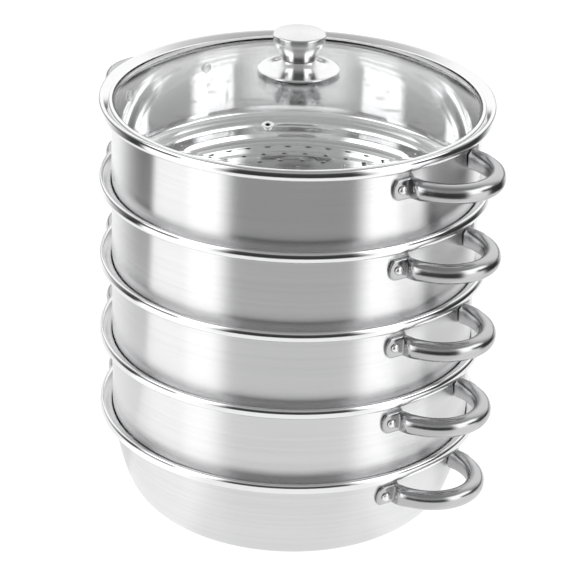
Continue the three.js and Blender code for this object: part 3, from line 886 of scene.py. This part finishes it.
vent_height, vent_tilt = dome_at(VENT_REACH)
vent_place = (
    Matrix.Rotation(VENT_ANGLE, 4, "Z")
    @ Matrix.Translation((VENT_REACH * MM, 0, (LID_LINE + vent_height) * MM))
    @ Matrix.Rotation(vent_tilt, 4, "Y")
)
bpy.ops.object.select_all(action="DESELECT")
bpy.ops.mesh.primitive_cylinder_add(vertices=32, radius=VENT_BORE * MM, depth=VENT_DEPTH * MM)
bore = bpy.context.object
bore.data.transform(vent_place)
apply_modifier(glass, "BOOLEAN", operation="DIFFERENCE", object=bore, solver="EXACT")
bpy.data.objects.remove(bore)
smooth(glass, 40)
finish_piece(glass, "lid_glass", "lid", "lid_glass", GLASS)

EYELET = [
    (1.7, -4), (2.5, -4, 0.2), (2.9, -3.6, 0.2), (2.9, 0.3), (4.5, 0.3, 0.2),
    (4.5, 0.75, 0.3), (3.2, 1.0, 0.4), (1.9, 0.9, 0.3), (1.7, 0.5, 0.2),
]
eyelet = turn("vent_ring", rounded_line(EYELET, 3), closed=True, steps=40)
eyelet.data.materials.append(KNOB_STEEL)
eyelet.data.materials.append(RUBBER_AND_BORE_SHADE)
# Faces within this reach of the eyelet's axis get the black rubber: painted shade in the bore.
for face in eyelet.data.polygons:
    face.material_index = int(face.center.xy.length < BORE_SHADE_REACH * MM)
eyelet.data.transform(vent_place)
smooth(eyelet, 35)
finish_piece(eyelet, "lid_vent_eyelet", "lid", "polished_steel")
print("vent tilted by", round(math.degrees(vent_tilt), 2), "degrees")

# %% [markdown]
# ## The knob
#
# The knob is turned from steel: a foot, a flare up to the collar, and a slightly domed
# satin top. It stands on a round plate, and a screw through the glass pulls both down
# from a steel cup that shows through the lid.

# %% Knob
SCREW_BORE = 3.3
TOP_FACE_HEIGHT, TOP_FACING = 58, 0.9
KNOB = [
    (0, 53.3), (SCREW_BORE, 53.3), (SCREW_BORE, 39.05), (12.6, 39.05, 0.3), (13.1, 39.6, 0.6),
    (14.3, 42.2, 12), (15.8, 45.1, 16), (17.7, 48.5, 16), (19.3, 52.1, 4), (19.6, 53.8, 2),
    (20, 57.9, 0.8), (19.0, 58.8, 1.2), (10, 59.15, 30), (0, 59.2),
]
knob = turn("knob_turned", lifted(rounded_line(KNOB, 5)), steps=128)
knob.data.materials.append(KNOB_STEEL)
knob.data.materials.append(TOP_STEEL)
for face in knob.data.polygons:
    high = face.center.z / MM > LID_LINE + TOP_FACE_HEIGHT
    face.material_index = int(face.normal.z > TOP_FACING and high)
smooth(knob, 35)
finish_piece(knob, "knob", "lid", "polished_steel")
print("knob:", len(knob.data.polygons), "faces")

# %% Plate and cup
PLATE = [
    (SCREW_BORE, 30.0), (30.4, 30.0, 0.3), (31, 30.5, 0.4), (30.9, 31.2, 0.4),
    (29.6, 31.75, 0.8), (25, 32.3, 20), (20.5, 33.5, 14), (16.6, 35.4, 9), (14.4, 37.4, 5),
    (13.4, 38.75, 0.3), (SCREW_BORE, 38.75),
]
CUP = [
    (SCREW_BORE, 12.6), (17.4, 12.6, 5), (17.4, 23.3), (16.6, 23.3), (16.6, 13.4, 4.2),
    (SCREW_BORE, 13.4),
]
plate = turn("knob_plate_turned", lifted(rounded_line(PLATE, 5)), closed=True, steps=128)
smooth(plate, 35)
finish_piece(plate, "knob_plate", "lid", "polished_steel", KNOB_STEEL)

cup = turn("knob_cup", lifted(rounded_line(CUP, 6)), closed=True, steps=96)
smooth(cup, 35)
finish_piece(cup, "knob_clamp_cup", "lid", "polished_steel", CUP_STEEL)
print("plate and cup:", len(plate.data.polygons), "and", len(cup.data.polygons), "faces")

# %% Washers and screw
WASHERS = (("upper", 28.75, 29.6), ("lower", 23.75, 24.5))
WASHER_REACH, WASHER_EDGE = 17.5, 0.25
for word, low, high in WASHERS:
    corners = (WASHER_REACH, low, WASHER_EDGE), (WASHER_REACH, high, WASHER_EDGE)
    ring = [(SCREW_BORE, low), *corners, (SCREW_BORE, high)]
    washer = turn(f"knob_seal_{word}", lifted(rounded_line(ring, 3)), closed=True, steps=64)
    smooth(washer, 35)
    finish_piece(washer, f"knob_washer_{word}", "lid", "seal_rubber", RUBBER_AND_BORE_SHADE)

SCREW = [
    (0, 10.2), (4.2, 9.9, 2), (6, 10.9, 0.8), (6, 12.2, 0.1), (3, 12.2), (3, 52.9), (0, 52.9),
]
screw = turn("knob_bolt", lifted(rounded_line(SCREW, 4)), steps=48)
smooth(screw, 35)
finish_piece(screw, "knob_screw", "lid", "polished_steel", KNOB_STEEL)
print("screw:", len(screw.data.polygons), "faces")

# %% [markdown]
# ## Studio
#
# Polished steel shows its surroundings, so the studio is half of the look. Soft boxes
# stand left and right of the camera, the room is dark between them and low down, and a
# white backdrop stands behind the pot, above a dark horizon. The world gives this light
# by direction. The floor does the same for rays that bounce off metal, so that the
# walls, which look down at it, find the same bands there: white paper near the pot, and
# a dark floor farther out, with lit sides. Seen directly, both are plain white.

# %% Light by direction
INNER_EDGE = (32.0, 47.0)


def bands_by_direction(tree, x, y, outer_edges, back_edges):
    """Two masks by direction: the lit bands left and right, and the backdrop.

    The edges are in degrees away from the camera's side, first left and then right.
    """
    turned = calc(tree, "ARCTAN2", y, x)
    away = calc(tree, "SUBTRACT", turned, CAMERA_TURN - math.pi / 2)
    degrees = calc(tree, "MULTIPLY", calc(tree, "WRAP", away, math.pi, -math.pi), 180 / math.pi)
    bands, backs = [], []
    for side, outer_edge, back_edge in zip((-1.0, 1.0), outer_edges, back_edges):
        turned_off = calc(tree, "MULTIPLY", degrees, side)
        past_inner = ramp(tree, turned_off, *INNER_EDGE)
        bands.append(calc(tree, "SUBTRACT", past_inner, ramp(tree, turned_off, *outer_edge)))
        backs.append(ramp(tree, turned_off, *back_edge))
    return calc(tree, "ADD", *bands), calc(tree, "ADD", *backs)


# %% World
BOX_LIGHT = 2.1
ROOM_LIGHT, BACK_LIGHT, CEILING_LIGHT = (0.05, 0.45), (0.04, 1.15), (0.32, 0.85)
LOW_OUTER_EDGES = ((63.0, 68.0), (63.0, 68.0))
HIGH_OUTER_EDGES = ((93.0, 99.0), (93.0, 99.0))
BACKDROP_EDGES = ((98.0, 138.0), (98.0, 138.0))
BOX_WIDENS, BOX_TOP = (0.22, 0.34), (0.6, 0.78)
ROOM_RISE, BACKDROP_RISE = (0.22, 0.45), (0.06, 0.14)
CEILING_START, CEILING_TURN = (0.62, 0.85), (-0.3, 0.7)


def studio_world():
    """Light by direction: the soft boxes, the room, the backdrop and the ceiling."""
    world = bpy.data.worlds.new("studio")
    bpy.context.scene.world = world
    world.use_nodes = True
    tree = world.node_tree
    tree.nodes.clear()
    direction = add(tree, "TexCoord").outputs["Generated"]
    x, y, rise = add(tree, "SeparateXYZ", inputs={0: direction}).outputs
    low_box, back = bands_by_direction(tree, x, y, LOW_OUTER_EDGES, BACKDROP_EDGES)
    high_box = bands_by_direction(tree, x, y, HIGH_OUTER_EDGES, BACKDROP_EDGES)[0]
    box = blend(tree, ramp(tree, rise, *BOX_WIDENS), low_box, high_box)
    low_room = ramp(tree, rise, *ROOM_RISE, *ROOM_LIGHT)
    low_back = ramp(tree, rise, *BACKDROP_RISE, *BACK_LIGHT)
    box_height = calc(tree, "SUBTRACT", 1.0, ramp(tree, rise, *BOX_TOP))
    room = blend(tree, calc(tree, "MULTIPLY", box, box_height), low_room, BOX_LIGHT)
    room = blend(tree, back, room, low_back)
    sideways = calc(tree, "MULTIPLY", x, -math.sin(CAMERA_TURN))
    behind = calc(tree, "ADD", sideways, calc(tree, "MULTIPLY", y, math.cos(CAMERA_TURN)))
    ceiling = ramp(tree, behind, *CEILING_TURN, *CEILING_LIGHT)
    light = blend(tree, ramp(tree, rise, *CEILING_START), room, ceiling)
    seen = add(tree, "LightPath").outputs["Is Camera Ray"]
    shown = blend(tree, seen, light, 1.0)
    background = add(tree, "Background", inputs={"Color": shown, "Strength": 1.0})
    output = tree.nodes.new("ShaderNodeOutputWorld")
    tree.links.new(background.outputs[0], output.inputs["Surface"])


studio_world()
print("world:", len(bpy.context.scene.world.node_tree.nodes), "nodes")

# %% Floor
FLOOR_SIZE = 12
FLOOR_COLOUR, FLOOR_ROUGHNESS = (0.94, 0.94, 0.94, 1), 0.9
PAPER_LIGHT, LIT_PAPER_LIGHT, PAPER_EDGE = 1.0, 1.2, (0.58, 0.7)
FAR_FLOOR_LIGHT, FAR_SIDE_LIGHT, BACKDROP_LIGHT = 0.03, 1.3, 1.15
FLOOR_OUTER_EDGES = ((87.0, 93.0), (74.0, 86.0))
FLOOR_BACKDROP_EDGES = ((98.0, 138.0), (116.0, 142.0))
OPEN_FLOOR_GLOW = 1.34
SHADOW_SHARE = 0.35


def studio_floor():
    """A white floor with a soft shadow, which metal sees as lit and dark bands."""
    bpy.ops.object.select_all(action="DESELECT")
    bpy.ops.mesh.primitive_plane_add(size=FLOOR_SIZE, location=(0, 0, 0))
    floor = bpy.context.object
    floor.name = "studio_floor"
    material, tree, shader = new_material("studio_floor_white")
    shader.inputs["Base Color"].default_value = FLOOR_COLOUR
    shader.inputs["Roughness"].default_value = FLOOR_ROUGHNESS
    spot = add(tree, "TexCoord").outputs["Object"]
    parts = add(tree, "SeparateXYZ", inputs={0: spot}).outputs
    edges = FLOOR_OUTER_EDGES, FLOOR_BACKDROP_EDGES
    box, back = bands_by_direction(tree, parts[0], parts[1], *edges)
    reach = reach_from_axis(tree, parts)
    far = blend(tree, box, FAR_FLOOR_LIGHT, FAR_SIDE_LIGHT)
    far = blend(tree, back, far, BACKDROP_LIGHT)
    near = blend(tree, box, PAPER_LIGHT, LIT_PAPER_LIGHT)
    light = blend(tree, ramp(tree, reach, *PAPER_EDGE), near, far)
    mirrored = add(tree, "Emission", inputs={"Color": light, "Strength": 1.0})
    glow = add(tree, "Emission", inputs={"Color": (1, 1, 1, 1), "Strength": OPEN_FLOOR_GLOW})
    shaders = {0: SHADOW_SHARE, 1: glow.outputs[0], 2: shader.outputs[0]}
    plain = add(tree, "MixShader", inputs=shaders)
    path = add(tree, "LightPath").outputs
    bounced = calc(tree, "MAXIMUM", path["Is Glossy Ray"], path["Is Transmission Ray"])
    shaders = {0: bounced, 1: plain.outputs[0], 2: mirrored.outputs[0]}
    mixed = add(tree, "MixShader", inputs=shaders)
    tree.links.new(mixed.outputs[0], tree.nodes["Material Output"].inputs["Surface"])
    floor.data.materials.append(material)


studio_floor()
print("floor:", FLOOR_SIZE, "m across")
